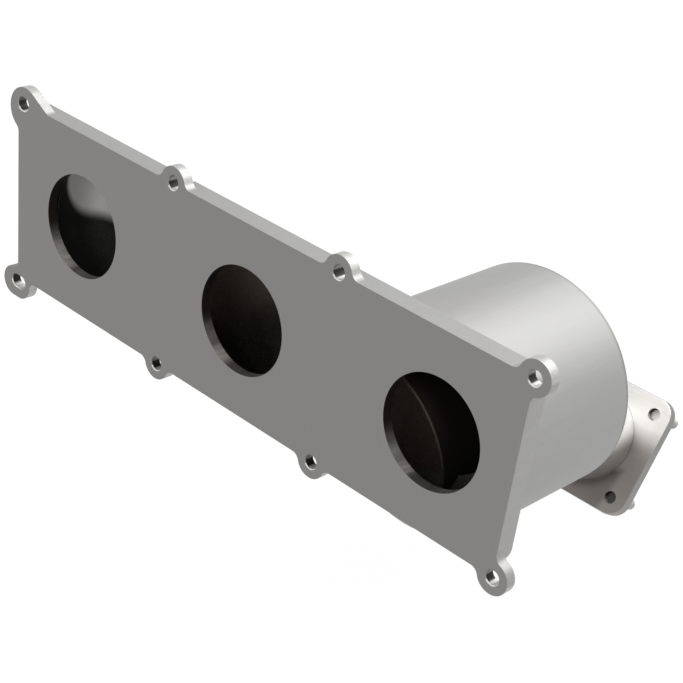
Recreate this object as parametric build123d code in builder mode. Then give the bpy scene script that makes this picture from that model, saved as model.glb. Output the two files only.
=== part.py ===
from build123d import *
import math
import os

os.makedirs("parts", exist_ok=True)

# Close-coupled catalytic converter, in millimetres.
# Origin: centre of the middle port on the flange's engine face.
# +X runs along the row of ports, +Y away from the engine, +Z up.

# Engine flange: a thin plate with ears, and a rim behind it all round that makes it thicker
port_bore = 50.0
port_spacing = 109.0
flange_thickness = 10.0
bolt_pitch = 100.4
bolt_row_spacing = 90.0
bolt_hole = 6.6
hole_chamfer = 0.4
plate_thickness = 5.0
rim_corner = 10.0
ear_radius = 7.6
ear_root_radius = 4.0

# Far end of the engine flange, where drawn-out ears with slots allow for heat growth
end_top_overhang = 9.8
end_bottom_overhang = 3.9
upper_ear_radius = 10.8
upper_ear_shift = 5.0
upper_ear_drop = 3.3
upper_ear_skirt = 12.1
upper_slot_shift = 6.2
upper_slot_drop = 0.9
upper_slot_travel = 1.4
lower_ear_shift = 4.8
lower_ear_drop = 3.9
lower_ear_travel = 4.9
lower_ear_root_radius = 2.8
lower_slot_shift = 3.3
lower_slot_drop = 3.0
lower_slot_travel = 3.7

# Collector housing: a pressed pan over the ports, and the cone that leads down to the can
sheet = 2.0
pan_end_margin = 9.75
pan_height = 72.0
pan_end_flat = 2.0
pan_drop = 5.0
pan_depth = 26.0
pan_back_radius = 14.0
mouth_setback = 4.0
mouth_width = 184.0
mouth_margin = 3.0
mouth_shift = 24.0
shoulder_depth = 36.0
shoulder_width = 184.0
shoulder_height = 80.0
shoulder_shift = 26.0
shoulder_drop = 20.0
cone_inset = 2.6

# Can
can_outside = 110.4
can_wall = 1.5
can_drop = 46.1
can_front = 69.0
can_rear = 150.1
can_edge_radius = 0.6
slip_gap = 0.2
slip_length = 6.0
slip_lead = 3.0

# Inlet liner: thin inner tube, its near edge flat at the top and scarfed towards the far ports
liner_sheet = 1.2
liner_front = 22.8
liner_rear_gap = 1.5
liner_flat_from = 44.0
liner_scarf_slope = 0.5
liner_scarf_angle = 39.0
liner_clearance = 0.5

# Brick, mat and mesh rings: what the mat leaves of the can's bore is the brick's
mat_thickness = 4.0
brick_end_gap = 1.0
brick_edge = 0.8
mesh_ring_length = 3.0
mat_inset = 4.0
fit_gap = 0.1
axial_gap = 0.3

# Outlet: neck and flange lie in the can's upright plane and point down
outlet_tilt = 30.0
outlet_past_can = 66.5
outlet_below_can = 56.9
neck_outside = 50.0
neck_wall = 2.0
neck_length = 43.0
neck_end_recess = 2.0
neck_lap = 6.0

# Outlet cone and the thin liner inside it
cone_sheet = 1.5
cone_lead = 2.0
socket_gap = 0.2
cone_liner_sheet = 1.0
cone_liner_gap = 0.2
cone_liner_throat_gap = 0.7
throat_lead = 2.0

# Outlet flange and its studs
outlet_width = 74.0
outlet_height = 66.4
outlet_thickness = 6.0
outlet_corner = 9.5
outlet_edge = 0.4
stud_pitch = 55.0
stud_row_spacing = 48.6
stud_hole = 6.6
stud_shank = 6.5
stud_thread = 6.0
stud_recess = 1.2
stud_reach = 22.0
stud_tip = 1.2
stud_centre = 2.4
stud_centre_depth = 1.5

# Sensor bosses, for a thread of 18 mm
boss_diameter = 24.0
boss_height = 13.0
boss_bore = 16.5
boss_edge = 1.0
sensor_hole = 19.0
front_boss_x = -78.0
front_boss_drop = 8.0
rear_boss_beside_can = 40.5
rear_boss_past_can = 18.9
rear_boss_below_can = 15.9
rear_boss_turn = 40.0

# Support bracket on the can's hidden side
bracket_sheet = 3.0
bracket_width = 32.0
bracket_setback = 24.0
bracket_side = 180.0
bracket_wrap = 56.0
bracket_reach = 34.0
bracket_bend = 3.0
bracket_hole = 8.5
bracket_hole_inset = 12.0
bracket_corner = 8.0

# Weld beads
housing_bead = 3.0
ring_bead = 1.3
bead_crown = 0.55

flange_half_length = 1.5 * bolt_pitch
flange_half_height = bolt_row_spacing / 2
can_offset = port_spacing / 2
can_bore_radius = can_outside / 2 - can_wall
slip_radius = can_bore_radius - slip_gap
cone_end = can_front - slip_lead
front_seat = can_front + slip_length
rear_seat = can_rear - slip_length
neck_radius = neck_outside / 2
socket_radius = neck_radius + socket_gap
outlet_slope = math.radians(outlet_tilt)
outlet_centre = Vector(can_offset, can_rear + outlet_past_can, -can_drop - outlet_below_can)
outlet_axis = Vector(0, math.cos(outlet_slope), -math.sin(outlet_slope))


def at_depth(depth):
    """Plane parallel to the engine face, drawn with X across and Z up."""
    return Plane.XZ.offset(-depth)


def can_plane(depth):
    """Plane square to the can and centred on its axis, facing the outlet."""
    return Plane(origin=(can_offset, depth, -can_drop), x_dir=(1, 0, 0), z_dir=(0, 1, 0))


def outlet_plane(distance):
    """Plane square to the neck, a distance past the outlet flange's near face."""
    origin = outlet_centre + outlet_axis * distance
    return Plane(origin=origin, x_dir=(1, 0, 0), z_dir=outlet_axis)


def boss_plane(x, depth, drop, turn):
    """Level plane facing the hidden side, turned from straight back towards the far ports."""
    angle = math.radians(turn)
    facing = (-math.sin(angle), math.cos(angle), 0)
    return Plane(origin=(x, depth, -drop), x_dir=(0, 0, 1), z_dir=facing)


def tube(plane, outer, inner, length):
    """Plain tube standing on a plane."""
    with BuildPart() as form:
        with BuildSketch(plane):
            Circle(outer)
            Circle(inner, mode=Mode.SUBTRACT)
        extrude(amount=length)
    return form.part


def ring_bead_at(plane, radius, outward, forward):
    """Fillet weld in the corner between a tube and a square end face."""
    section = Plane(origin=plane.origin, x_dir=plane.x_dir, z_dir=-plane.y_dir)
    with BuildPart() as bead:
        with BuildSketch(section):
            with BuildLine():
                corner = (radius, 0)
                toe = (radius + outward, 0)
                crown = (radius + outward * bead_crown, forward * bead_crown)
                shoulder = (radius, forward)
                Line(corner, toe)
                ThreePointArc(toe, crown, shoulder)
                Line(shoulder, corner)
            make_face()
        revolve(axis=Axis(plane.origin, plane.z_dir))
    return bead


def finish(piece, label):
    piece.part.label = label
    export_step(piece.part, f"parts/{label}.step")


def pan_outline(growth):
    """Outline of the pan where it stands on the flange, grown all round."""
    length = 2 * (flange_half_length - pan_end_margin + growth)
    height = pan_height + 2 * growth
    with Locations((0, -pan_drop)):
        RectangleRounded(length, height, (height - pan_end_flat) / 2)


# Engine flange
far_end = -flange_half_length
top = flange_half_height
upper_slot_centre = (far_end - upper_slot_shift, top - upper_slot_drop)
lower_slot_centre = (far_end - lower_slot_shift, -top - lower_slot_drop)
skirt_run = Vector(upper_ear_shift + upper_ear_skirt, upper_ear_drop)
skirt_angle = math.atan2(skirt_run.Y, skirt_run.X) + math.acos(upper_ear_radius / skirt_run.length)
upper_ear_centre = Vector(far_end - upper_ear_shift, top - upper_ear_drop)
skirt_start = upper_ear_centre + Vector(upper_ear_radius, 0).rotate(Axis.Z, math.degrees(skirt_angle))
with BuildPart() as engine_flange:
    with BuildSketch(at_depth(0)) as plate:
        with BuildLine():
            Polyline(
                (-far_end, top),
                (-far_end, -top),
                (far_end - end_bottom_overhang, -top),
                (far_end - end_top_overhang, top),
                close=True,
            )
        make_face()
    extrude(amount=-plate_thickness)
    with BuildSketch(at_depth(plate_thickness)) as rim:
        add(plate.sketch_local)
        fillet(rim.vertices(), rim_corner)
    extrude(amount=plate_thickness - flange_thickness)
    with BuildSketch(at_depth(0)) as outline:
        add(plate.sketch)
        with Locations((bolt_pitch / 2, 0)):
            with GridLocations(bolt_pitch, bolt_row_spacing, 3, 2):
                Circle(ear_radius)
        with Locations(upper_ear_centre):
            Circle(upper_ear_radius)
        with BuildLine():
            Polyline(upper_ear_centre, skirt_start, (far_end + upper_ear_skirt, top), close=True)
        make_face()
        with Locations((far_end - lower_ear_shift, -top - lower_ear_drop)):
            SlotCenterToCenter(lower_ear_travel, 2 * ear_radius)
        beside_plate = outline.vertices().filter_by(lambda corner: abs(corner.Y) < top + fit_gap)
        upper_roots = beside_plate.filter_by(lambda corner: corner.Y > 0)
        lower_roots = beside_plate.filter_by(lambda corner: corner.Y < 0).sort_by(Axis.X)
        fillet(upper_roots + lower_roots[2:], ear_root_radius)
        end_corners = outline.vertices().filter_by(lambda corner: -top < corner.Y < 0)
        fillet(end_corners.sort_by(Axis.X)[1], lower_ear_root_radius)
    extrude(amount=-plate_thickness)
    with BuildSketch(at_depth(0)):
        with GridLocations(port_spacing, 0, 3, 1):
            Circle(port_bore / 2)
        with Locations((bolt_pitch / 2, 0)):
            with GridLocations(bolt_pitch, bolt_row_spacing, 3, 2):
                Circle(bolt_hole / 2)
        with Locations(upper_slot_centre):
            SlotCenterToCenter(upper_slot_travel, bolt_hole)
        with Locations(lower_slot_centre):
            SlotCenterToCenter(lower_slot_travel, bolt_hole)
    extrude(amount=-flange_thickness, mode=Mode.SUBTRACT)
    with BuildSketch(at_depth(plate_thickness)):
        pan_outline(-sheet)
    extrude(amount=plate_thickness - flange_thickness, mode=Mode.SUBTRACT)
    openings = engine_flange.faces().sort_by(Axis.Y)[0].inner_wires()
    chamfer(openings.filter_by(lambda wire: wire.length < port_bore).edges(), hole_chamfer)
finish(engine_flange, "engine_flange")


def collector_form(inset, cone_inset, seat_inset):
    """Solid shape of the pan, its cone and the spigot, each drawn in by its own inset."""
    with BuildPart() as form:
        with BuildSketch(at_depth(flange_thickness)):
            pan_outline(-inset)
        extrude(amount=-(pan_depth - inset))
        fillet(form.faces().sort_by(Axis.Y)[-1].edges(), pan_back_radius - inset)
        with BuildSketch(at_depth(flange_thickness + mouth_setback)) as mouth:
            with Locations((mouth_shift, -pan_drop)):
                Ellipse(mouth_width / 2 - cone_inset, pan_height / 2 - mouth_margin - cone_inset)
        with BuildSketch(at_depth(shoulder_depth)) as shoulder:
            with Locations((shoulder_shift, -shoulder_drop)):
                Ellipse(shoulder_width / 2 - cone_inset, shoulder_height / 2 - cone_inset)
        with BuildSketch(at_depth(cone_end)) as spigot:
            with Locations((can_offset, -can_drop)):
                Circle(slip_radius - seat_inset)
        loft([mouth.sketch, shoulder.sketch, spigot.sketch])
        extrude(spigot.sketch, amount=-(front_seat - cone_end))
    return form.part


# Collector housing
front_boss = boss_plane(front_boss_x, flange_thickness + pan_depth, front_boss_drop, 0)
collector_outer = collector_form(0, 0, 0)
collector_inner = collector_form(sheet, cone_inset, sheet)
with BuildPart() as collector_housing:
    add(collector_outer)
    add(collector_inner, mode=Mode.SUBTRACT)
    with BuildSketch(front_boss):
        Circle(sensor_hole / 2)
    extrude(amount=boss_height, both=True, mode=Mode.SUBTRACT)
finish(collector_housing, "collector_housing")

# Inlet liner
liner_radius = slip_radius - sheet - slip_gap
liner_rear = front_seat - liner_rear_gap
scarf_angle = math.radians(liner_scarf_angle)
scarf_way = Vector(math.cos(scarf_angle), 0, math.sin(scarf_angle))
scarf_foot = Vector(can_offset, liner_front, -can_drop) + scarf_way * liner_flat_from
liner_room = collector_form(sheet + liner_clearance, cone_inset + liner_clearance, sheet)
liner_tube = tube(
    can_plane(liner_front), liner_radius, liner_radius - liner_sheet, liner_rear - liner_front
)
with BuildPart() as inlet_liner:
    add(liner_tube)
    add(liner_room, mode=Mode.INTERSECT)
    split(
        bisect_by=Plane(origin=scarf_foot, z_dir=Vector(0, 1, 0) + scarf_way * liner_scarf_slope),
        keep=Keep.TOP,
    )
finish(inlet_liner, "inlet_liner")

# Front sensor boss
with BuildPart() as sensor_boss_front:
    with BuildSketch(front_boss):
        Circle(boss_diameter / 2)
    extrude(amount=boss_height, both=True)
    boss_top = sensor_boss_front.faces().sort_by(Axis(front_boss.origin, front_boss.z_dir))[-1]
    chamfer(boss_top.edges(), boss_edge)
    add(collector_outer, mode=Mode.SUBTRACT)
    with BuildSketch(front_boss):
        Circle(boss_bore / 2)
    extrude(amount=boss_height, both=True, mode=Mode.SUBTRACT)
finish(sensor_boss_front, "sensor_boss_front")

# Can
with BuildPart() as can_shell:
    add(tube(can_plane(can_front), can_outside / 2, can_bore_radius, can_rear - can_front))
    outer_rims = can_shell.edges().filter_by(GeomType.CIRCLE).group_by(lambda rim: rim.radius)[-1]
    fillet(outer_rims.sort_by(Axis.Y)[-1], can_edge_radius)
finish(can_shell, "can_shell")

# Brick, mat and mesh rings
ring_outer = can_bore_radius - fit_gap
ring_inner = ring_outer - mat_thickness
brick_radius = ring_inner - fit_gap
brick_front = front_seat + brick_end_gap
brick_rear = rear_seat - brick_end_gap
with BuildPart() as substrate:
    with BuildSketch(can_plane(brick_front)):
        Circle(brick_radius)
    extrude(amount=brick_rear - brick_front)
    chamfer(substrate.edges().filter_by(GeomType.CIRCLE), brick_edge)
finish(substrate, "substrate")

with BuildPart() as mesh_ring_front:
    add(tube(can_plane(front_seat + axial_gap), ring_outer, ring_inner, mesh_ring_length))
finish(mesh_ring_front, "mesh_ring_front")

with BuildPart() as mesh_ring_rear:
    rear_ring_start = rear_seat - axial_gap - mesh_ring_length
    add(tube(can_plane(rear_ring_start), ring_outer, ring_inner, mesh_ring_length))
finish(mesh_ring_rear, "mesh_ring_rear")

with BuildPart() as mat:
    mat_front = front_seat + axial_gap + mesh_ring_length + mat_inset
    mat_rear = rear_ring_start - mat_inset
    add(tube(can_plane(mat_front), ring_outer, ring_inner, mat_rear - mat_front))
finish(mat, "mat")

# Outlet cone with its socket for the neck
neck_start = outlet_thickness - neck_end_recess - neck_length
socket_end = neck_start + neck_lap


def cone_form(wide, narrow, start, throat, end):
    """Solid cone from the can down to a short spigot on the neck's axis."""
    with BuildPart() as form:
        with BuildSketch(can_plane(rear_seat + start)):
            Circle(wide)
        extrude(amount=slip_length + cone_lead - start)
        with BuildSketch(can_plane(can_rear + cone_lead)) as base:
            Circle(wide)
        with BuildSketch(outlet_plane(throat)) as top:
            Circle(narrow)
        loft([base.sketch, top.sketch])
        extrude(top.sketch, amount=end - throat)
    return form.part


rear_boss = boss_plane(
    can_offset - rear_boss_beside_can,
    can_rear + rear_boss_past_can,
    can_drop + rear_boss_below_can,
    rear_boss_turn,
)
cone_outer = cone_form(slip_radius, socket_radius + cone_sheet, 0, neck_start, socket_end)
cone_inner = cone_form(slip_radius - cone_sheet, socket_radius, 0, neck_start, socket_end)
with BuildPart() as outlet_cone:
    add(cone_outer)
    add(cone_inner, mode=Mode.SUBTRACT)
    with BuildSketch(rear_boss):
        Circle(sensor_hole / 2)
    extrude(amount=boss_height, both=True, mode=Mode.SUBTRACT)
finish(outlet_cone, "outlet_cone")

# Liner inside the outlet cone
cone_liner_wide = slip_radius - cone_sheet - cone_liner_gap
cone_liner_throat = neck_radius - neck_wall - cone_liner_throat_gap
throat_end = neck_start - axial_gap
throat_start = neck_start - throat_lead
cone_liner_outer = cone_form(cone_liner_wide, cone_liner_throat, axial_gap, throat_start, throat_end)
cone_liner_inner = cone_form(
    cone_liner_wide - cone_liner_sheet,
    cone_liner_throat - cone_liner_sheet,
    axial_gap,
    throat_start,
    throat_end,
)
with BuildPart() as outlet_cone_liner:
    add(cone_liner_outer)
    add(cone_liner_inner, mode=Mode.SUBTRACT)
    with BuildSketch(rear_boss):
        Circle(sensor_hole / 2)
    extrude(amount=2 * boss_height, both=True, mode=Mode.SUBTRACT)
finish(outlet_cone_liner, "outlet_cone_liner")

# Rear sensor boss
with BuildPart() as sensor_boss_rear:
    with BuildSketch(rear_boss):
        Circle(boss_diameter / 2)
    extrude(amount=boss_height, both=True)
    boss_top = sensor_boss_rear.faces().sort_by(Axis(rear_boss.origin, rear_boss.z_dir))[-1]
    chamfer(boss_top.edges(), boss_edge)
    add(cone_outer, mode=Mode.SUBTRACT)
    with BuildSketch(rear_boss):
        Circle(boss_bore / 2)
    extrude(amount=boss_height, both=True, mode=Mode.SUBTRACT)
finish(sensor_boss_rear, "sensor_boss_rear")

# Outlet neck
with BuildPart() as outlet_neck:
    add(tube(outlet_plane(neck_start), neck_radius, neck_radius - neck_wall, neck_length))
finish(outlet_neck, "outlet_neck")

# Outlet flange
outlet_bore = neck_radius + fit_gap
with BuildPart() as outlet_flange:
    with BuildSketch(outlet_plane(0)):
        RectangleRounded(outlet_width, outlet_height, outlet_corner)
        Circle(outlet_bore, mode=Mode.SUBTRACT)
        with GridLocations(stud_pitch, stud_row_spacing, 2, 2):
            Circle(stud_hole / 2, mode=Mode.SUBTRACT)
    extrude(amount=outlet_thickness)
    near_face = outlet_flange.faces().sort_by(Axis(outlet_centre, outlet_axis))[0]
    chamfer(near_face.outer_wire().edges(), outlet_edge)
finish(outlet_flange, "outlet_flange")

# Four outlet studs, pressed into the flange
with BuildPart() as outlet_studs:
    with BuildSketch(outlet_plane(stud_recess)):
        with GridLocations(stud_pitch, stud_row_spacing, 2, 2):
            Circle(stud_shank / 2)
    extrude(amount=outlet_thickness - stud_recess)
    with BuildSketch(outlet_plane(outlet_thickness)):
        with GridLocations(stud_pitch, stud_row_spacing, 2, 2):
            Circle(stud_thread / 2)
    extrude(amount=stud_reach)
    tips = outlet_studs.edges().filter_by(GeomType.CIRCLE).sort_by(Axis(outlet_centre, outlet_axis))[-4:]
    chamfer(tips, stud_tip)
    with BuildSketch(outlet_plane(stud_recess)):
        with GridLocations(stud_pitch, stud_row_spacing, 2, 2):
            Circle(stud_centre / 2)
    extrude(amount=stud_centre_depth, mode=Mode.SUBTRACT)
finish(outlet_studs, "outlet_studs")

# Support bracket: a saddle on the can and a level leg with a bolt hole
can_centre = (can_offset, -can_drop)
saddle_inner = can_outside / 2 + fit_gap
saddle_outer = saddle_inner + bracket_sheet
saddle_start = bracket_side - bracket_wrap / 2
with BuildPart() as support_bracket:
    with BuildSketch(at_depth(can_front + bracket_setback)) as bracket_section:
        with BuildLine():
            saddle = CenterArc(can_centre, saddle_inner, saddle_start, bracket_wrap)
            back = CenterArc(can_centre, saddle_outer, saddle_start, bracket_wrap)
            Line(saddle @ 0, back @ 0)
            Line(saddle @ 1, back @ 1)
        make_face()
        leg_root = back @ 1
        with Locations((leg_root.X, leg_root.Y)):
            Rectangle(bracket_reach, bracket_sheet, align=(Align.MAX, Align.MIN))
        leg_top = leg_root.Y + bracket_sheet
        level = bracket_section.vertices().filter_by(lambda corner: abs(corner.Y - leg_top) < fit_gap)
        fillet(level.sort_by(Axis.X)[-1], bracket_bend)
    extrude(amount=-bracket_width)
    leg_end = support_bracket.faces().sort_by(Axis.X)[0]
    fillet(leg_end.edges().filter_by(Axis.Z), bracket_corner)
    bolt_x = leg_root.X - bracket_reach + bracket_hole_inset
    bolt_y = can_front + bracket_setback + bracket_width / 2
    with BuildSketch(Plane(origin=(bolt_x, bolt_y, leg_top))):
        Circle(bracket_hole / 2)
    extrude(amount=-bracket_sheet, mode=Mode.SUBTRACT)
finish(support_bracket, "support_bracket")

# Weld beads
with BuildPart() as weld_housing:
    with BuildSketch(at_depth(flange_thickness)):
        pan_outline(housing_bead)
    extrude(amount=-housing_bead, taper=45)
    with BuildSketch(at_depth(flange_thickness)):
        pan_outline(0)
    extrude(amount=-housing_bead, mode=Mode.SUBTRACT)
finish(weld_housing, "weld_housing")

weld_can_front = ring_bead_at(can_plane(can_front), slip_radius, ring_bead, -ring_bead)
finish(weld_can_front, "weld_can_front")

weld_can_rear = ring_bead_at(can_plane(can_rear), slip_radius, ring_bead, ring_bead)
finish(weld_can_rear, "weld_can_rear")

weld_neck = ring_bead_at(outlet_plane(socket_end), neck_radius, ring_bead, ring_bead)
finish(weld_neck, "weld_neck")

neck_end = outlet_plane(outlet_thickness - neck_end_recess)
weld_outlet = ring_bead_at(neck_end, outlet_bore, -ring_bead, ring_bead)
finish(weld_outlet, "weld_outlet")
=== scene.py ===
import math

import bmesh
import bpy
import numpy as np
from mathutils import Matrix


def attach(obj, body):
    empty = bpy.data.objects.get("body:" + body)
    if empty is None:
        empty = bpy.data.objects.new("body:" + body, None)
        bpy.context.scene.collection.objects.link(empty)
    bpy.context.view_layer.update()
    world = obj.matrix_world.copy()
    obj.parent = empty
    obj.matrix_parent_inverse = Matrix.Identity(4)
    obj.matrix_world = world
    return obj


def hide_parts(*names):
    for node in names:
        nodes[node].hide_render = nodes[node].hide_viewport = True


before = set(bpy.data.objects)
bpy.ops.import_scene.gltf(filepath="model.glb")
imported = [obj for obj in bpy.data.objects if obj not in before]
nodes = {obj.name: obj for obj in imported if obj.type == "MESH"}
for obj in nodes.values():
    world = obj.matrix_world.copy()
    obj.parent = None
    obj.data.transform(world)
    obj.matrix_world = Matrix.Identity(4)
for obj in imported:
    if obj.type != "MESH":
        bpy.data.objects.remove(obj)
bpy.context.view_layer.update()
print("frame loaded:", len(nodes), "nodes")


# Short helpers for wiring shader nodes
def addNode(tree, kind, **settings):
    node = tree.nodes.new(kind)
    for name, value in settings.items():
        setattr(node, name, value)
    return node


def feed(tree, value, socket):  # a number or colour is set on the socket, anything else is linked
    if isinstance(value, bpy.types.NodeSocket):
        tree.links.new(value, socket)
    elif value is not None:
        socket.default_value = value


def maths(tree, operation, *values):
    node = addNode(tree, "ShaderNodeMath", operation=operation)
    for value, socket in zip(values, node.inputs):
        feed(tree, value, socket)
    return node.outputs[0]


def plus(tree, first, second):
    return maths(tree, "ADD", first, second)


def less(tree, first, second):
    return maths(tree, "SUBTRACT", first, second)


def times(tree, first, second):
    return maths(tree, "MULTIPLY", first, second)


def absolute(tree, value):
    return maths(tree, "ABSOLUTE", value)


def hypotenuse(tree, first, second):
    squares = plus(tree, maths(tree, "POWER", first, 2.0), maths(tree, "POWER", second, 2.0))
    return maths(tree, "SQRT", squares)


def spread(tree, value, low, high, toLow=0.0, toHigh=1.0):  # smooth step from low to high
    node = addNode(tree, "ShaderNodeMapRange", interpolation_type="SMOOTHSTEP")
    feed(tree, value, node.inputs["Value"])
    feed(tree, low, node.inputs["From Min"])
    feed(tree, high, node.inputs["From Max"])
    feed(tree, toLow, node.inputs["To Min"])
    feed(tree, toHigh, node.inputs["To Max"])
    return node.outputs["Result"]


def mixColour(tree, factor, first, second, blend="MIX"):
    node = addNode(tree, "ShaderNodeMix", data_type="RGBA", blend_type=blend)
    feed(tree, factor, node.inputs[0])
    feed(tree, first, node.inputs[6])
    feed(tree, second, node.inputs[7])
    return node.outputs[2]


def noise(tree, vector, scale, detail=3.0, roughness=0.55):
    node = addNode(tree, "ShaderNodeTexNoise")
    feed(tree, vector, node.inputs["Vector"])
    feed(tree, scale, node.inputs["Scale"])
    node.inputs["Detail"].default_value = detail
    node.inputs["Roughness"].default_value = roughness
    return node.outputs["Fac"]


def split(tree, vector):  # a vector's x, y and z
    node = addNode(tree, "ShaderNodeSeparateXYZ")
    feed(tree, vector, node.inputs[0])
    return node.outputs


def newGroup(name, inputs, outputs):
    group = bpy.data.node_groups.new(name, "ShaderNodeTree")
    for label, kind, start in inputs:
        socket = group.interface.new_socket(label, in_out="INPUT", socket_type="NodeSocket" + kind)
        if start is not None:
            socket.default_value = start
    for label, kind in outputs:
        group.interface.new_socket(label, in_out="OUTPUT", socket_type="NodeSocket" + kind)
    return group, group.nodes.new("NodeGroupInput").outputs, group.nodes.new("NodeGroupOutput").inputs


def useGroup(tree, group, **values):
    node = addNode(tree, "ShaderNodeGroup", node_tree=group)
    for name, value in values.items():
        feed(tree, value, node.inputs[name])
    return node.outputs


# Effects that several finishes share
grainMix = {"coarseScale": 0.23, "fineShare": 0.6, "coarseShare": 0.4}


def makeBrushedGrain():
    # Long thin streaks: a fine noise over a coarse one, both read on a vector that the finish has stretched
    group, given, made = newGroup(
        "brushedGrain",
        [("Vector", "Vector", None), ("Fineness", "Float", 1.0), ("Contrast", "Float", 0.5)],
        [("Streaks", "Float")],
    )
    fine = noise(group, given["Vector"], given["Fineness"], 4.0, 0.7)
    coarse = noise(group, given["Vector"], times(group, given["Fineness"], grainMix["coarseScale"]), 2.0, 0.5)
    fineShare = times(group, fine, grainMix["fineShare"])
    both = plus(group, fineShare, times(group, coarse, grainMix["coarseShare"]))
    centred = times(group, less(group, both, 0.5), given["Contrast"])
    feed(group, plus(group, centred, 0.5), made["Streaks"])
    return group


def makeEdgeWear():
    # Where the softened normal leans away from the true one there is an edge: noise breaks the mask up
    group, given, made = newGroup(
        "edgeWear",
        [("Vector", "Vector", None), ("Radius", "Float", 0.0004), ("Patchiness", "Float", 0.3)],
        [("Mask", "Float")],
    )
    bevel = addNode(group, "ShaderNodeBevel", samples=4)
    feed(group, given["Radius"], bevel.inputs["Radius"])
    geometry = addNode(group, "ShaderNodeNewGeometry")
    lean = addNode(group, "ShaderNodeVectorMath", operation="DOT_PRODUCT")
    feed(group, bevel.outputs["Normal"], lean.inputs[0])
    feed(group, geometry.outputs["True Normal"], lean.inputs[1])
    rough = spread(group, lean.outputs["Value"], 0.99, 0.75)
    patches = spread(group, noise(group, given["Vector"], 160.0, 3.0), 0.35, 0.6)
    kept = less(group, 1.0, times(group, given["Patchiness"], patches))
    feed(group, times(group, rough, kept), made["Mask"])
    return group


temper = (  # the colours that hot steel runs through: clean, straw, brown, dull violet, dark grey
    (0.0, (1.0, 1.0, 1.0)),
    (0.3, (0.98, 0.9, 0.76)),
    (0.55, (0.72, 0.56, 0.42)),
    (0.78, (0.42, 0.37, 0.38)),
    (1.0, (0.24, 0.23, 0.22)),
)


def makeHeatTint():
    # The steel's colour times the temper colour for its heat
    group, given, made = newGroup(
        "heatTint",
        [("Steel", "Color", (0.5, 0.5, 0.5, 1.0)), ("Heat", "Float", 0.0), ("Strength", "Float", 0.5)],
        [("Colour", "Color")],
    )
    ramp = addNode(group, "ShaderNodeValToRGB")
    while len(ramp.color_ramp.elements) < len(temper):
        ramp.color_ramp.elements.new(0.5)
    for element, (place, colour) in zip(ramp.color_ramp.elements, temper):
        element.position = place
        element.color = (*colour, 1.0)
    feed(group, given["Heat"], ramp.inputs["Fac"])
    tinted = mixColour(group, given["Strength"], given["Steel"], ramp.outputs["Color"], "MULTIPLY")
    feed(group, tinted, made["Colour"])
    return group


def makeCloudyCover():
    # An uneven cover: cloudy noise darkens the metal towards the cover colour, and small specks stay lighter
    group, given, made = newGroup(
        "cloudyCover",
        [
            ("Vector", "Vector", None),
            ("Metal", "Color", (0.3, 0.3, 0.3, 1.0)),
            ("Deposit", "Color", (0.02, 0.018, 0.015, 1.0)),
            ("Cover", "Float", 0.8),
        ],
        [("Colour", "Color"), ("Roughness", "Float")],
    )
    cloud = spread(group, noise(group, given["Vector"], 60.0, 4.0), 0.3, 0.7, 0.95, 1.0)
    specks = spread(group, noise(group, given["Vector"], 1500.0, 2.0), 0.45, 0.7, 1.0, 0.95)
    cover = times(group, times(group, cloud, specks), given["Cover"])
    feed(group, mixColour(group, cover, given["Metal"], given["Deposit"]), made["Colour"])
    feed(group, spread(group, cover, 0.0, 1.0, 0.4, 0.85), made["Roughness"])
    return group


def makeScrewThread():
    # Ridge height of a screw: the distance along the axis less a pitch for each turn, folded into a triangle
    # wave
    group, given, made = newGroup(
        "screwThread",
        [("Vector", "Vector", None), ("Pitch", "Float", 0.0015)],
        [("Height", "Float")],
    )
    x, y, z = split(group, given["Vector"])
    turn = maths(group, "DIVIDE", maths(group, "ARCTAN2", y, x), 2 * math.pi)
    along = maths(group, "DIVIDE", z, given["Pitch"])
    feed(group, maths(group, "PINGPONG", less(group, along, turn), 0.5), made["Height"])
    return group


brushedGrain = makeBrushedGrain()
edgeWear = makeEdgeWear()
heatTint = makeHeatTint()
cloudyCover = makeCloudyCover()
screwThread = makeScrewThread()
print("shared effects built")


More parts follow.
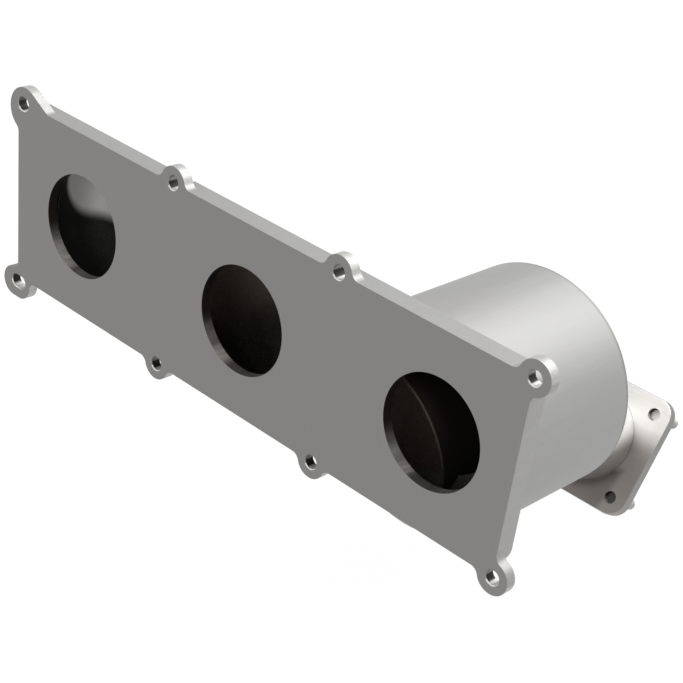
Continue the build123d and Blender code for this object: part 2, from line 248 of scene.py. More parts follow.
# A finish: a material with its tree, Object coordinates and the parts of those coordinates
class Finish:
    def __init__(self, name, metallic):
        self.material = bpy.data.materials.new(name)
        self.material.use_nodes = True
        self.tree = self.material.node_tree
        self.tree.nodes.clear()
        self.shader = addNode(self.tree, "ShaderNodeBsdfPrincipled")
        self.shader.inputs["Metallic"].default_value = metallic
        end = addNode(self.tree, "ShaderNodeOutputMaterial")
        self.tree.links.new(self.shader.outputs[0], end.inputs["Surface"])
        self.place = addNode(self.tree, "ShaderNodeTexCoord").outputs["Object"]
        self.x, self.y, self.z = split(self.tree, self.place)

    def mapped(self, centre=(0, 0, 0), turn=(0, 0, 0), scale=(1, 1, 1)):
        # TEXTURE mapping takes the centre away, turns back and divides by the scale
        node = addNode(self.tree, "ShaderNodeMapping", vector_type="TEXTURE")
        feed(self.tree, self.place, node.inputs["Vector"])
        node.inputs["Location"].default_value = centre
        node.inputs["Rotation"].default_value = turn
        node.inputs["Scale"].default_value = scale
        return node.outputs[0]

    def grain(self, scale, fineness, contrast=1.0, centre=(0, 0, 0), turn=(0, 0, 0)):
        # streaks run along the axes whose scale is large
        vector = self.mapped(centre, turn, scale)
        return useGroup(self.tree, brushedGrain, Vector=vector, Fineness=fineness, Contrast=contrast)["Streaks"]

    def wear(self, radius, patchiness):
        return useGroup(self.tree, edgeWear, Vector=self.place, Radius=radius, Patchiness=patchiness)["Mask"]

    def clouded(self, metal, coverColour, cover):
        return useGroup(self.tree, cloudyCover, Vector=self.place, Metal=metal, Deposit=coverColour, Cover=cover)

    def mark(self, name):
        return addNode(self.tree, "ShaderNodeAttribute", attribute_name=name).outputs["Fac"]

    def grainOver(self, colour, streaks, low, high):
        # brightens or darkens a colour a little with the streaks
        shade = spread(self.tree, streaks, 0.25, 0.75, low, high)
        return mixColour(self.tree, 1.0, colour, shade, "MULTIPLY")

    def colour(self, value):
        feed(self.tree, value, self.shader.inputs["Base Color"])

    def roughness(self, value):
        feed(self.tree, value, self.shader.inputs["Roughness"])

    def relief(self, height, strength, distance):
        node = addNode(self.tree, "ShaderNodeBump")
        node.inputs["Strength"].default_value = strength
        node.inputs["Distance"].default_value = distance
        feed(self.tree, height, node.inputs["Height"])
        feed(self.tree, node.outputs[0], self.shader.inputs["Normal"])


def paint(name, finish):  # puts a finish into a CAD node's own slots
    slots = nodes[name].data.materials
    if len(slots) == 0:
        slots.append(finish.material)
    for index in range(len(slots)):
        slots[index] = finish.material


def faceFacts(name):  # centres and outward directions of a CAD node's faces, in millimetres
    mesh = nodes[name].data
    centres = np.empty(len(mesh.polygons) * 3)
    facing = np.empty(len(mesh.polygons) * 3)
    mesh.polygons.foreach_get("center", centres)
    mesh.polygons.foreach_get("normal", facing)
    return centres.reshape(-1, 3) * 1000, facing.reshape(-1, 3)


def markFaces(name, label, values):
    layer = nodes[name].data.attributes.new(label, "FLOAT", "FACE")
    layer.data.foreach_set("value", np.asarray(values, np.float32))


# Places that the finishes and new pieces share, in millimetres
tilt = math.radians(30)
can = {"x": 54.5, "z": -46.1, "front": 69.0, "rear": 150.1}
outlet = {
    "centre": np.array((54.5, 216.6, -103.0)),
    "axis": np.array((0.0, math.cos(tilt), -0.5)),
    "up": np.array((0.0, 0.5, math.cos(tilt))),
}
canMiddle = (can["x"] / 1000, 0, can["z"] / 1000)  # metres, on the can's axis
outletMiddle = tuple(outlet["centre"] / 1000)
outletTurn = (-tilt, 0, 0)


# Engine flange: dull face, bright cut edges, port walls browned by the gas, painted light and shade in the holes,
# ports and pocket. Sizes are in metres
flange = {
    "face": (0.262, 0.257, 0.249, 1),
    "edge": (0.385, 0.382, 0.375, 1),
    "ear": (0.50, 0.497, 0.49, 1),
    "worn": (0.62, 0.61, 0.6, 1),
    # painted shadow and painted highlight for the drilled walls
    "hole": (0.03, 0.028, 0.026, 1),
    "holeTop": (0.3, 0.295, 0.285, 1),
    "holeLow": (0.8, 0.79, 0.77, 1),
    "portDark": (0.042, 0.034, 0.028, 1),
    # painted highlight low on the left of the port walls
    "portHighlight": (0.84, 0.81, 0.78, 1),
    "metallic": 0.3,
    "cutMetallic": 0.75,
    "faceStreak": 420.0,
    "edgeStreak": 3400.0,
    "cut": (0.00002, 0.0002),  # depth at which the face turns into the cut edge
    "earRise": (0.0451, 0.0462),  # height at which an ear stands out of the plate's edge
    "portPitch": 0.109,
    "portWall": (0.0254, 0.0251),  # pairs of radii fade a wall out and in
    "holePitch": 0.1004,
    "holeRow": 0.045,
    "holeWall": (0.0042, 0.0036),
    "slotAt": -0.1555,
    "slotRow": 0.0455,
    "slotWall": (0.0066, 0.006),
    "blackAngle": 3.8,
    "blackReach": (0.75, 0.35),
    "lip": (0.0004, 0.0009),
    "pocketFront": (0.0049, 0.0051),
    "pocketBack": (0.00995, 0.0098),
    "pocketHeight": (0.0415, 0.0412),
    "pocketReach": (0.1392, 0.139),
    # painted shade for the pocket behind the ports
    "pocketMetal": (0.1, 0.09, 0.08, 1),
    "pocketDeposit": (0.01, 0.008, 0.007, 1),
}


def holeShade(made, body, aside, row, wall, behindFace):
    # painted light and shade on the drilled walls: a painted shadow low on the left, a painted highlight below
    # that and grey above
    tree = made.tree
    above = times(tree, less(tree, absolute(tree, made.z), row), maths(tree, "SIGN", made.z))
    drilled = times(tree, spread(tree, hypotenuse(tree, aside, above), *wall), behindFace)
    around = maths(tree, "WRAP", maths(tree, "ARCTAN2", above, aside), 2 * math.pi, 0.0)
    lit = mixColour(tree, spread(tree, around, 3.7, 3.9), flange["holeTop"], flange["holeLow"])
    holeShadowMask = spread(tree, absolute(tree, less(tree, around, flange["blackAngle"])), *flange["blackReach"])
    lip = spread(tree, made.y, *flange["lip"])
    shown = mixColour(tree, times(tree, holeShadowMask, lip), lit, flange["hole"])
    return mixColour(tree, drilled, body, shown)


def portWall(made, body, behindFace):
    # port walls are dark brown, with a painted highlight low on the left; the turn is the angle round the port,
    # below zero in its lower half
    tree = made.tree
    pitch = flange["portPitch"]
    fromPort = maths(tree, "WRAP", made.x, pitch / 2, -pitch / 2)
    onWall = times(tree, spread(tree, hypotenuse(tree, fromPort, made.z), *flange["portWall"]), behindFace)
    turn = maths(tree, "ARCTAN2", made.z, fromPort)
    window = times(tree, spread(tree, turn, -2.9, -2.15), spread(tree, turn, -2.0, -1.75, 1.0, 0.22))
    lowerHalf = times(tree, window, spread(tree, turn, 0.3, -0.3))
    patches = spread(tree, noise(tree, made.mapped(scale=(1, 5, 1)), 130.0, 3.0, 0.6), 0.3, 0.7, 0.5, 1.15)
    bright = mixColour(tree, times(tree, lowerHalf, patches), flange["portDark"], flange["portHighlight"])
    wall = made.grainOver(bright, made.grain((1, 9, 1), 700.0, 1.4), 0.85, 1.15)
    return mixColour(tree, onWall, body, wall)


def finishFlange():
    made = Finish("flangeSteel", flange["metallic"])
    tree = made.tree
    faceGrain = made.grain((1, 1, 0.25), flange["faceStreak"], 0.9)
    edgeGrain = made.grain((1, 6, 1), flange["edgeStreak"])
    behindFace = spread(tree, made.y, *flange["cut"])
    face = made.grainOver(flange["face"], faceGrain, 0.985, 1.015)
    edge = made.grainOver(flange["edge"], edgeGrain, 0.96, 1.04)
    # the ears' cut edges are brighter than the plate's, with stronger streaks
    height = absolute(tree, made.z)
    onEar = times(tree, spread(tree, height, *flange["earRise"]), behindFace)
    ear = made.grainOver(flange["ear"], edgeGrain, 0.84, 1.14)
    body = mixColour(tree, behindFace, face, mixColour(tree, onEar, edge, ear))
    halfPitch = flange["holePitch"] / 2
    fromHole = maths(tree, "WRAP", plus(tree, made.x, halfPitch), halfPitch, -halfPitch)
    body = holeShade(made, body, fromHole, flange["holeRow"], flange["holeWall"], behindFace)
    fromSlot = plus(tree, made.x, -flange["slotAt"])
    body = holeShade(made, body, fromSlot, flange["slotRow"], flange["slotWall"], behindFace)
    body = portWall(made, body, behindFace)
    # worn bright edges, which also stand in as painted highlights along the edges and hole rims
    lit = mixColour(tree, times(tree, made.wear(0.0003, 0.4), 0.2), body, flange["worn"])
    # the pocket behind the ports is painted dark as shade, with a cloudy texture: between the plate and the back
    # face, inside the pan
    front, back = spread(tree, made.y, *flange["pocketFront"]), spread(tree, made.y, *flange["pocketBack"])
    across = spread(tree, absolute(tree, made.x), *flange["pocketReach"])
    inPan = times(tree, spread(tree, height, *flange["pocketHeight"]), across)
    pocket = made.clouded(flange["pocketMetal"], flange["pocketDeposit"], 0.97)["Colour"]
    made.colour(mixColour(tree, times(tree, times(tree, front, back), inPan), lit, pocket))
    metal = spread(tree, behindFace, 0.0, 1.0, flange["metallic"], flange["cutMetallic"])
    feed(tree, metal, made.shader.inputs["Metallic"])
    made.roughness(spread(tree, faceGrain, 0.2, 0.8, 0.5, 0.58))
    made.relief(edgeGrain, 0.05, 0.0001)
    paint("engine_flange", made)


# Can: bright sheet with faint brushed streaks, and a narrow darker band of painted shade near the rear edge
drum = {
    "steel": (0.395, 0.393, 0.387, 1),
    "worn": (0.75, 0.74, 0.73, 1),
    "rearEdgeShade": (0.12, 0.118, 0.115, 1),
    "metallic": 0.8,
    "streak": 260.0,
    "bandAt": (0.1478, 0.149),
    "band": 0.32,
    "heatTint": 0.06,
}


def finishCan():
    made = Finish("canSteel", drum["metallic"])
    tree = made.tree
    rings = made.grain((9, 1, 9), drum["streak"] * 3, centre=canMiddle)
    along = made.grain((1, 14, 1), drum["streak"] * 2.2, centre=canMiddle)
    steel = made.grainOver(made.grainOver(drum["steel"], rings, 0.99, 1.01), along, 0.96, 1.04)
    heat = spread(tree, made.y, 0.15, 0.05, 0.0, 0.2)
    tinted = useGroup(tree, heatTint, Steel=steel, Heat=heat, Strength=drum["heatTint"])["Colour"]
    # painted shade: a narrow darker band near the rear edge
    band = spread(tree, made.y, *drum["bandAt"], 0.0, drum["band"])
    tinted = mixColour(tree, band, tinted, drum["rearEdgeShade"])
    made.colour(mixColour(tree, times(tree, made.wear(0.0005, 0.3), 0.4), tinted, drum["worn"]))
    made.roughness(spread(tree, along, 0.2, 0.8, 0.56, 0.62))
    made.relief(along, 0.05, 0.00005)
    paint("can_shell", made)


# Pressed sheet: bare grey outside, dark inside with painted shade under a cloudy texture
pressed = {
    "steel": (0.40, 0.395, 0.385, 1),
    "coverColour": (0.013, 0.011, 0.01, 1),
    # painted light on the pan's inner wall: brown light and a pale pool of light
    "brown": (0.5, 0.39, 0.32, 1),
    "litPatch": (0.76, 0.75, 0.73, 1),
    "metallic": 0.4,
    "streak": 300.0,
    "cover": 0.995,
    "heatTint": 0.55,
}


def finishPressed(name, hot, cold, wallLight=None):
    # the heat tint runs from the depth named hot, in metres, to the one named cold
    made = Finish(name, pressed["metallic"])
    tree = made.tree
    grain = made.grain((3, 1, 1), pressed["streak"])
    steel = made.grainOver(pressed["steel"], grain, 0.93, 1.07)
    cloud = times(tree, less(tree, noise(tree, made.place, 25.0, 3.0), 0.5), 0.35)
    heat = plus(tree, spread(tree, made.y, cold, hot, 0.05, 0.6), cloud)
    tinted = useGroup(tree, heatTint, Steel=steel, Heat=heat, Strength=pressed["heatTint"])["Colour"]
    # inside: painted shade under a cloudy texture
    innerColour = made.clouded(steel, pressed["coverColour"], pressed["cover"])["Colour"]
    if wallLight:
        innerColour = wallLight(made, innerColour)
    inside = made.mark("inside")
    made.colour(mixColour(tree, inside, tinted, innerColour))
    made.roughness(plus(tree, times(tree, inside, 0.3), spread(tree, grain, 0.2, 0.8, 0.42, 0.52)))
    made.relief(grain, 0.12, 0.0001)
    return made


# Where the housing's inner wall carries painted shade, painted brown light or a painted pool of light, in
# millimetres
panWall = {
    "shadeSpan": (-90.0, -30.0),
    "shadeRange": (0.6, 2.0),
    "slant": 0.6,
    "brownRise": (-18.0, 46.0),
    "brownAcross": (-95.0, -70.0),
    "curveRoot": 31.0,
    "curvePower": 2.5,
    "curveSteepness": 0.0135,
    "curveDrop": 10.5,
    "curveSoftness": (-3.5, 4.0),
    "litAcross": (-100.0, -122.0),
}


def paintedLightWall(made, dark):
    # painted light and shade on the pan's inner wall: the painted shade is deepest at the far end, behind the
    # middle port the sheet is painted a lighter brown light high up towards the far side, and at the far end a
    # painted pool of light lies above a curve whose height is a power of the distance from its root
    tree = made.tree
    across, back, height = (times(tree, way, 1000.0) for way in (made.x, made.y, made.z))
    speckle = spread(tree, noise(tree, made.place, 1600.0, 2.0), 0.35, 0.65, 0.75, 1.25)
    slope = less(tree, height, times(tree, across, panWall["slant"]))
    brownAcross = spread(tree, across, *panWall["brownAcross"])
    brownLight = times(tree, spread(tree, slope, *panWall["brownRise"]), brownAcross)
    # painted shade, deepest at the far end
    shadeAlong = spread(tree, across, *panWall["shadeSpan"], *panWall["shadeRange"])
    shadedWall = mixColour(tree, 1.0, dark, shadeAlong, "MULTIPLY")
    shadeAndBrownLight = mixColour(tree, times(tree, brownLight, speckle), shadedWall, pressed["brown"])
    # painted pool of light at the far end, above the curve
    forward = maths(tree, "MAXIMUM", less(tree, panWall["curveRoot"], back), 0.0)
    rise = times(tree, maths(tree, "POWER", forward, panWall["curvePower"]), panWall["curveSteepness"])
    aboveCurve = less(tree, height, less(tree, rise, panWall["curveDrop"]))
    litAcross = spread(tree, across, *panWall["litAcross"])
    litPatch = times(tree, spread(tree, aboveCurve, *panWall["curveSoftness"]), litAcross)
    return mixColour(tree, litPatch, shadeAndBrownLight, pressed["litPatch"])


# The pressed pan on the engine flange and the mouth of its cone, in millimetres
pan = {
    "halfLong": 105.85,
    "halfShort": 1.0,
    "radius": 35.0,
    "y": 10.0,
    "z": -5.0,
    "back": 36.0,
    "depth": 22.0,
    "halfLine": 104.0,
    "mouthX": 26.0,
    "mouthReach": 93.0,
    "mouthHalf": 60.0,
    "mouthLength": 30.0,
    "coneX": 24.0,
    "coneStart": 14.0,
    "coneLength": 52.0,
}


def insidePan(centres, facing):
    # a face is inside when it looks towards the nearest point of the housing's middle line. The line runs level
    # through the pan, and from there down to the can's axis
    y = centres[:, 1]
    down = np.clip((y - pan["coneStart"]) / pan["coneLength"], 0, 1)
    midX = pan["coneX"] + down * (can["x"] - pan["coneX"])
    midZ = pan["z"] + down * (can["z"] - pan["z"])
    narrowing = 1 - np.clip((y - pan["back"]) / pan["mouthLength"], 0, 1)
    reachX = np.where(y < pan["back"], pan["mouthHalf"], pan["mouthHalf"] * narrowing)
    besideMouth = np.abs(centres[:, 0] - pan["mouthX"]) > pan["mouthReach"]
    inPan = (y < pan["back"] + 0.5) & (besideMouth | (y < pan["coneStart"] - 0.1))
    alongPan = np.clip(centres[:, 0], -pan["halfLine"], pan["halfLine"])
    nearX = np.where(inPan, alongPan, np.clip(centres[:, 0], midX - reachX, midX + reachX))
    nearY = np.minimum(y, pan["depth"]) * inPan + y * ~inPan
    nearZ = np.where(inPan, pan["z"], midZ)
    towards = np.stack([nearX, nearY, nearZ], 1) - centres
    return np.einsum("ij,ij->i", towards, facing) > 0


def insideAxis(centres, facing, origin, axis):
    # a face is inside a tube when it looks towards the tube's own axis
    along = (centres - origin) @ axis
    towards = origin + np.outer(along, axis) - centres
    return np.einsum("ij,ij->i", towards, facing) > 0


def insideCone(centres, facing):
    # the cone's middle line leads from the can's axis to the outlet's centre over its length in depth
    coneStart, coneLength = 152.0, 30.0
    start = np.array((can["x"], coneStart, can["z"]))
    share = np.clip((centres[:, 1] - coneStart) / coneLength, 0, 1)[:, None]
    line = start * (1 - share) + outlet["centre"] * share
    line[:, 1] = centres[:, 1]
    return np.einsum("ij,ij->i", line - centres, facing) > 0


def finishSheets():
    markFaces("collector_housing", "inside", insidePan(*faceFacts("collector_housing")))
    paint("collector_housing", finishPressed("housingSteel", 0.0, 0.07, paintedLightWall))
    markFaces("outlet_cone", "inside", insideCone(*faceFacts("outlet_cone")))
    paint("outlet_cone", finishPressed("coneSteel", 0.15, 0.2))
    inNeck = insideAxis(*faceFacts("outlet_neck"), outlet["centre"], outlet["axis"])
    markFaces("outlet_neck", "inside", inNeck)
    paint("outlet_neck", finishNeck())
    markFaces("support_bracket", "inside", np.zeros(len(nodes["support_bracket"].data.polygons)))
    paint("support_bracket", finishPressed("bracketSteel", -1.0, 0.0))


# Outlet studs: sizes in millimetres, along each stud from the outlet flange's near face
stud = {
    "shank": 3.25,
    "thread": 2.98,
    "root": 2.42,
    "pitch": 1.0,
    "recess": 3.6,
    "plate": 6.0,
    "end": 28.0,
    "tip": 1.2,
    "around": 40,
    "perPitch": 9,
    "across": 27.5,
    "up": 24.3,
    "steel": (0.50, 0.495, 0.48, 1),
    "worn": (0.7, 0.69, 0.67, 1),
    "litEnd": (0.98, 0.965, 0.94, 1),
    "shadedEnd": (0.12, 0.115, 0.11, 1),
    "metallic": 0.5,
}


# Neck and outlet flange: painted highlight on the upper part and painted shade below, split by height. Heights
# are in metres
neck = {
    "light": (0.94, 0.93, 0.90, 1),
    "steel": (0.40, 0.39, 0.375, 1),
    "dark": (0.27, 0.255, 0.24, 1),
    "metallic": 0.6,
    "height": (-0.1, -0.0865),  # dark up to the first, light from the second
    "side": (0.058, 0.071),
    "streak": 420.0,
}
plate = {
    "light": (0.98, 0.97, 0.95, 1),
    "dark": (0.45, 0.426, 0.407, 1),
    "edge": (0.26, 0.255, 0.248, 1),
    # painted shadow on the upper part of the stud-hole walls
    "hole": (0.04, 0.037, 0.034, 1),
    "worn": (0.9, 0.89, 0.87, 1),
    "metallic": 0.85,
    "streak": 500.0,
    "cut": (0.00003, 0.0003),
    "beside": (0.0265, 0.0305),
    "atNeck": (0.0255, 0.0305),
    "below": (-0.006, -0.016),
    "holeWall": (0.0036, 0.0034),
    "holeShade": (-0.0026, 0.0002),
}


def finishNeck():
    made = Finish("neckSteel", neck["metallic"])
    tree = made.tree
    grain = made.grain((6, 1, 1), neck["streak"])
    # painted shade low down, painted highlight high up on the right side
    level = spread(tree, made.z, *neck["height"])
    upper = mixColour(tree, spread(tree, made.x, *neck["side"]), neck["steel"], neck["light"])
    steel = made.grainOver(mixColour(tree, level, neck["dark"], upper), grain, 0.95, 1.05)
    # inside: painted shade under a cloudy texture
    inner = made.clouded(steel, pressed["coverColour"], 0.9)["Colour"]
    made.colour(mixColour(tree, made.mark("inside"), steel, inner))
    made.roughness(spread(tree, grain, 0.2, 0.8, 0.38, 0.48))
    made.relief(grain, 0.1, 0.0001)
    return made


def finishOutletFlange():
    made = Finish("outletFlangeSteel", plate["metallic"])
    tree = made.tree
    across, depth, up = split(tree, made.mapped(outletMiddle, outletTurn))
    grain = made.grain((8, 1, 1), plate["streak"], centre=outletMiddle, turn=outletTurn)
    # painted highlight on the upper part of the face, painted shade below
    level = spread(tree, made.z, *neck["height"])
    face = mixColour(tree, level, plate["dark"], plate["light"])
    # painted shadow lies darker beside the neck's lower half, with painted shade darkest right at it
    behindFace = spread(tree, depth, *plate["cut"])
    beside = spread(tree, less(tree, across, times(tree, up, 0.15)), *plate["beside"], 0.66, 1.0)
    atNeck = spread(tree, hypotenuse(tree, across, up), *plate["atNeck"], 0.6, 1.0)
    shade = maths(tree, "MAXIMUM", times(tree, beside, atNeck), spread(tree, up, *plate["below"], 1.0, 0.0))
    shadowedFace = mixColour(tree, 1.0, face, shade, "MULTIPLY")
    body = made.grainOver(mixColour(tree, behindFace, shadowedFace, plate["edge"]), grain, 0.96, 1.04)
    # the stud holes' walls carry a painted highlight below and a painted shadow above
    fromStud = less(tree, absolute(tree, across), stud["across"] / 1000)
    studUp = less(tree, absolute(tree, up), stud["up"] / 1000)
    inHole = times(tree, spread(tree, hypotenuse(tree, fromStud, studUp), *plate["holeWall"]), behindFace)
    aboveStud = less(tree, up, times(tree, maths(tree, "SIGN", up), stud["up"] / 1000))
    holeWall = mixColour(tree, spread(tree, aboveStud, *plate["holeShade"]), plate["light"], plate["hole"])
    body = mixColour(tree, inHole, body, holeWall)
    # worn bright edges, which also stand in as the painted highlight line along the face's edge
    made.colour(mixColour(tree, times(tree, made.wear(0.0004, 0.3), 0.5), body, plate["worn"]))
    made.roughness(spread(tree, grain, 0.2, 0.8, 0.36, 0.46))
    made.relief(grain, 0.06, 0.0001)
    paint("outlet_flange", made)


# Thin liners: black outside as painted shade, with a painted lit strip up high near the rim, brown inside, and a
# painted highlight on the rim that fades downwards
liner = {
    "bare": (0.13, 0.095, 0.07, 1),
    "inside": (0.17, 0.13, 0.105, 1),
    # painted shade on the outside
    "outsideShade": (0.014, 0.012, 0.0095, 1),
    "nearRim": (0.045, 0.034, 0.027, 1),
    "rim": (0.15, 0.128, 0.11, 1),
    "rimLow": (0.03, 0.024, 0.02, 1),
    "metallic": 0.3,
    "streak": 300.0,
    "rimFade": (-0.034, 0.004),
    "nearRimDepth": (0.034, 0.023),
    "nearRimHeight": (-0.03, 0.0),
    "radius": 50.0,
    "wallFacing": 0.9,
    "rimDepth": 60.0,
}


def finishLiners():
    made = Finish("linerSteel", liner["metallic"])
    tree = made.tree
    grain = made.grain((1, 7, 1), liner["streak"], 1.2)
    brown = made.clouded(made.grainOver(liner["bare"], grain, 0.8, 1.2), liner["inside"], 0.85)
    # painted light: a lit strip on the outside near the rim, up high
    nearRim = times(
        tree, spread(tree, made.y, *liner["nearRimDepth"]), spread(tree, made.z, *liner["nearRimHeight"])
    )
    outer = mixColour(tree, nearRim, liner["outsideShade"], liner["nearRim"])
    body = mixColour(tree, made.mark("inside"), outer, brown["Colour"])
    # painted highlight on the rim, fading downwards
    rimHighlight = mixColour(tree, spread(tree, made.z, *liner["rimFade"]), liner["rimLow"], liner["rim"])
    made.colour(mixColour(tree, made.mark("rim"), body, rimHighlight))
    made.roughness(times(tree, brown["Roughness"], 0.8))
    made.relief(grain, 0.15, 0.0001)
    # the inlet liner's wall looks to or from the can's axis, and its rim looks along it
    centres, facing = faceFacts("inlet_liner")
    fromAxis = centres[:, ::2] - (can["x"], can["z"])
    radial = np.einsum("ij,ij->i", fromAxis, facing[:, ::2]) / liner["radius"]
    isRim = (np.abs(radial) < liner["wallFacing"]) & (centres[:, 1] < liner["rimDepth"])
    markFaces("inlet_liner", "rim", isRim)
    markFaces("inlet_liner", "inside", radial < 0)
    count = len(nodes["outlet_cone_liner"].data.polygons)
    markFaces("outlet_cone_liner", "rim", np.zeros(count))
    markFaces("outlet_cone_liner", "inside", np.ones(count))
    paint("inlet_liner", made)
    paint("outlet_cone_liner", made)


# Brick: square channels across its ends, darkened with painted shade, plain ceramic skin round it
brick = {
    "wall": (0.46, 0.39, 0.33, 1),
    "channel": (0.22, 0.17, 0.14, 1),
    "pitch": 0.0009,
    "wallShare": 0.16,
    "softness": 0.06,
}


def finishBrick():
    made = Finish("ceramicBrick", 0.0)
    tree = made.tree
    halfWall = brick["wallShare"] / 2
    cells = []
    for way in (made.x, made.z):
        folded = maths(tree, "PINGPONG", maths(tree, "DIVIDE", way, brick["pitch"]), 0.5)
        cells.append(spread(tree, folded, halfWall, halfWall + brick["softness"]))
    channel = times(tree, cells[0], cells[1])
    cloud = spread(tree, noise(tree, made.place, 40.0), 0.3, 0.7, 0.8, 1.1)
    wall = made.grainOver(brick["wall"], cloud, 0.8, 1.1)
    # painted shade in the channels
    made.colour(mixColour(tree, times(tree, channel, made.mark("end")), wall, brick["channel"]))
    made.roughness(0.95)
    made.relief(less(tree, 1.0, channel), 0.6, 0.0003)
    facing = faceFacts("substrate")[1]
    markFaces("substrate", "end", np.abs(facing[:, 1]) > 0.9)
    paint("substrate", made)


# Mat of ceramic fibre, and the rings of knitted wire beside it
packing = {
    "fibre": (0.62, 0.6, 0.55, 1),
    "fibreDark": (0.35, 0.33, 0.3, 1),
    "wire": (0.42, 0.415, 0.4, 1),
    "gapShade": (0.05, 0.048, 0.045, 1),
    "loop": 0.0016,
    "ringRadius": 0.0515,
    "sway": 1.6,
}


def finishMat():
    made = Finish("fibreMat", 0.0)
    tree = made.tree
    threads = noise(tree, made.mapped(scale=(1, 3, 1)), 900.0, 5.0, 0.7)
    made.colour(mixColour(tree, spread(tree, threads, 0.35, 0.65), packing["fibreDark"], packing["fibre"]))
    made.roughness(spread(tree, threads, 0.3, 0.7, 0.9, 1.0))
    made.relief(threads, 0.7, 0.0004)
    paint("mat", made)


def finishMesh():
    # rows of wire that sway from side to side once per loop round the ring, with painted shade in the gaps
    # between them
    made = Finish("meshSteel", 0.6)
    tree = made.tree
    x, _, z = split(tree, made.mapped(canMiddle))
    turn = times(tree, maths(tree, "ARCTAN2", z, x), packing["ringRadius"] / packing["loop"])
    row = times(tree, made.y, 2 * math.pi / packing["loop"])
    sway = plus(tree, row, times(tree, maths(tree, "SINE", turn), packing["sway"]))
    wire = spread(tree, maths(tree, "SINE", sway), -0.3, 0.5)
    # painted shade in the gaps between the wires
    made.colour(mixColour(tree, wire, packing["gapShade"], packing["wire"]))
    made.roughness(spread(tree, wire, 0.0, 1.0, 0.8, 0.35))
    made.relief(wire, 0.8, 0.0004)
    paint("mesh_ring_front", made)
    paint("mesh_ring_rear", made)


# Sensor bosses: turned steel with an 18 mm thread cut into the bore, its grooves darkened with painted shade
boss = {
    "steel": (0.46, 0.455, 0.445, 1),
    "grooveShade": (0.07, 0.065, 0.06, 1),
    "crest": (0.45, 0.44, 0.43, 1),
    "metallic": 0.5,
    "streak": 900.0,
    "pitch": 0.0015,
    "bore": (0.0086, 0.0084),
    "frontAt": (-0.078, 0.036, -0.008),
    "frontTurn": (math.radians(-90), 0, 0),
    "rearAt": (0.014, 0.169, -0.062),
    "rearTurn": (math.radians(-90), 0, math.radians(40)),
}


def finishBoss(node, name, centre, turn):
    made = Finish(name, boss["metallic"])
    tree = made.tree
    local = made.mapped(centre, turn)
    grain = made.grain((12, 12, 1), boss["streak"], centre=centre, turn=turn)
    steel = made.grainOver(boss["steel"], grain, 0.92, 1.08)
    ridge = useGroup(tree, screwThread, Vector=local, Pitch=boss["pitch"])["Height"]
    x, y, _ = split(tree, local)
    inBore = spread(tree, hypotenuse(tree, x, y), *boss["bore"])
    # painted shade in the thread's grooves
    thread = mixColour(tree, spread(tree, ridge, 0.1, 0.4), boss["grooveShade"], boss["crest"])
    made.colour(mixColour(tree, inBore, steel, thread))
    made.roughness(spread(tree, grain, 0.2, 0.8, 0.34, 0.44))
    made.relief(times(tree, ridge, inBore), 0.9, 0.0009)
    paint(node, made)


finishFlange()
finishCan()
finishSheets()
finishOutletFlange()
finishLiners()
finishBrick()
finishMat()
finishMesh()
finishBoss("sensor_boss_front", "frontBossSteel", boss["frontAt"], boss["frontTurn"])
finishBoss("sensor_boss_rear", "rearBossSteel", boss["rearAt"], boss["rearTurn"])
print("finishes put on the CAD nodes")


# New pieces are grids of points worked out with numpy
creaseAngle = math.radians(38)


def gridPiece(name, points, closeRows, closeColumns, finish, replaced):
    # points has rows by columns by 3 numbers, in millimetres: neighbours are joined by quads
    rows, columns = points.shape[:2]
    row = np.arange(rows if closeRows else rows - 1)
    column = np.arange(columns if closeColumns else columns - 1)
    a, b = np.meshgrid(row, column, indexing="ij")
    nextA, nextB = (a + 1) % rows, (b + 1) % columns
    corners = [a * columns + b, nextA * columns + b, nextA * columns + nextB, a * columns + nextB]
    quads = np.stack(corners, -1).reshape(-1, 4)
    mesh = bpy.data.meshes.new(name)
    mesh.from_pydata((points.reshape(-1, 3) / 1000).tolist(), [], quads.tolist())
    work = bmesh.new()
    work.from_mesh(mesh)
    bmesh.ops.remove_doubles(work, verts=work.verts, dist=1e-7)
    bmesh.ops.recalc_face_normals(work, faces=work.faces)
    work.to_mesh(mesh)
    work.free()
    mesh.shade_smooth()
    mesh.set_sharp_from_angle(angle=creaseAngle)
    mesh.materials.append(finish.material)
    piece = bpy.data.objects.new(name, mesh)
    bpy.context.scene.collection.objects.link(piece)
    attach(piece, "root")
    if replaced:
        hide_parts(replaced)
    return piece


def studProfile():
    # distance along the stud and radius, from the near end to the tip
    near, face, end = stud["recess"], stud["plate"], stud["end"]
    shank, thread = stud["shank"], stud["thread"]
    start = [(near, 0.0), (near, shank - 0.3), (near + 0.3, shank), (face - 0.2, shank), (face, shank - 0.2)]
    steps = int((end - stud["tip"] - face) / stud["pitch"] * stud["perPitch"])
    threaded = [(place, thread) for place in np.linspace(face + 0.05, end - stud["tip"], steps)]
    rounded = [(end - 0.9, thread - 0.35), (end - 0.45, thread - 0.85), (end - 0.12, thread - 1.4)]
    tip = rounded + [(end, 1.0), (end, 0.0)]
    return np.array(start + threaded + tip)


